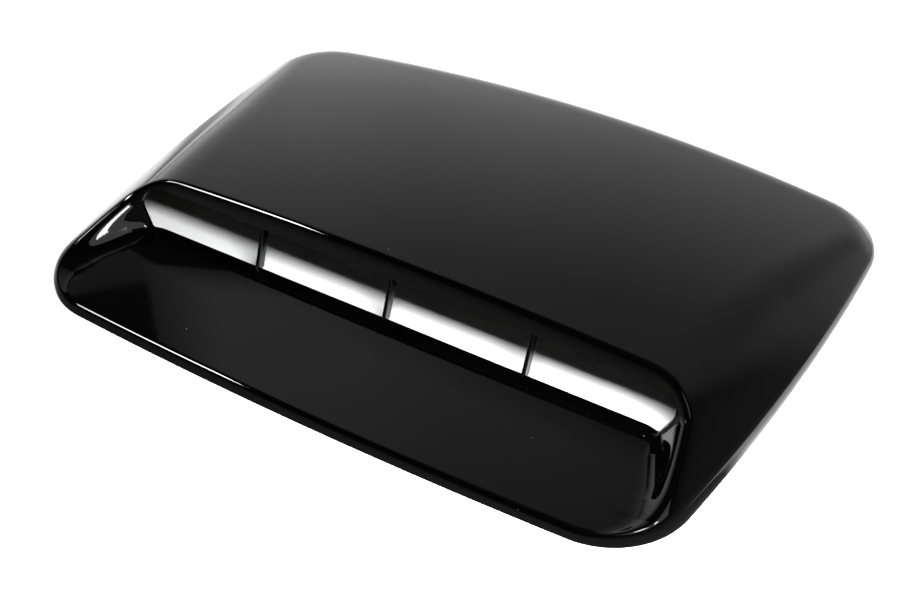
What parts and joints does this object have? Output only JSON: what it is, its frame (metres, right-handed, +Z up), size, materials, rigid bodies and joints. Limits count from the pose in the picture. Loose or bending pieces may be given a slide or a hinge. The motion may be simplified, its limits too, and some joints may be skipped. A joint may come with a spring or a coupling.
{
  "type": "bonnet scoop",
  "caption": "Low, wide bonnet scoop: a one-piece glossy moulded shell with a rolled lip, a tray in front of its barred mouth, sloping flanks and an open underside.",
  "frame": {"origin": "middle of the flat underside, on the plane that the edge return stands on", "axes": "+Z up from the bonnet, -Y forwards out of the mouth, +X across the width"},
  "size_m": [0.605, 0.47, 0.0542],
  "materials": {
    "gloss_black": "high gloss"
  },
  "bodies": {
    "root": {"scoop_shell": "gloss_black"}
  },
  "joints": []
}
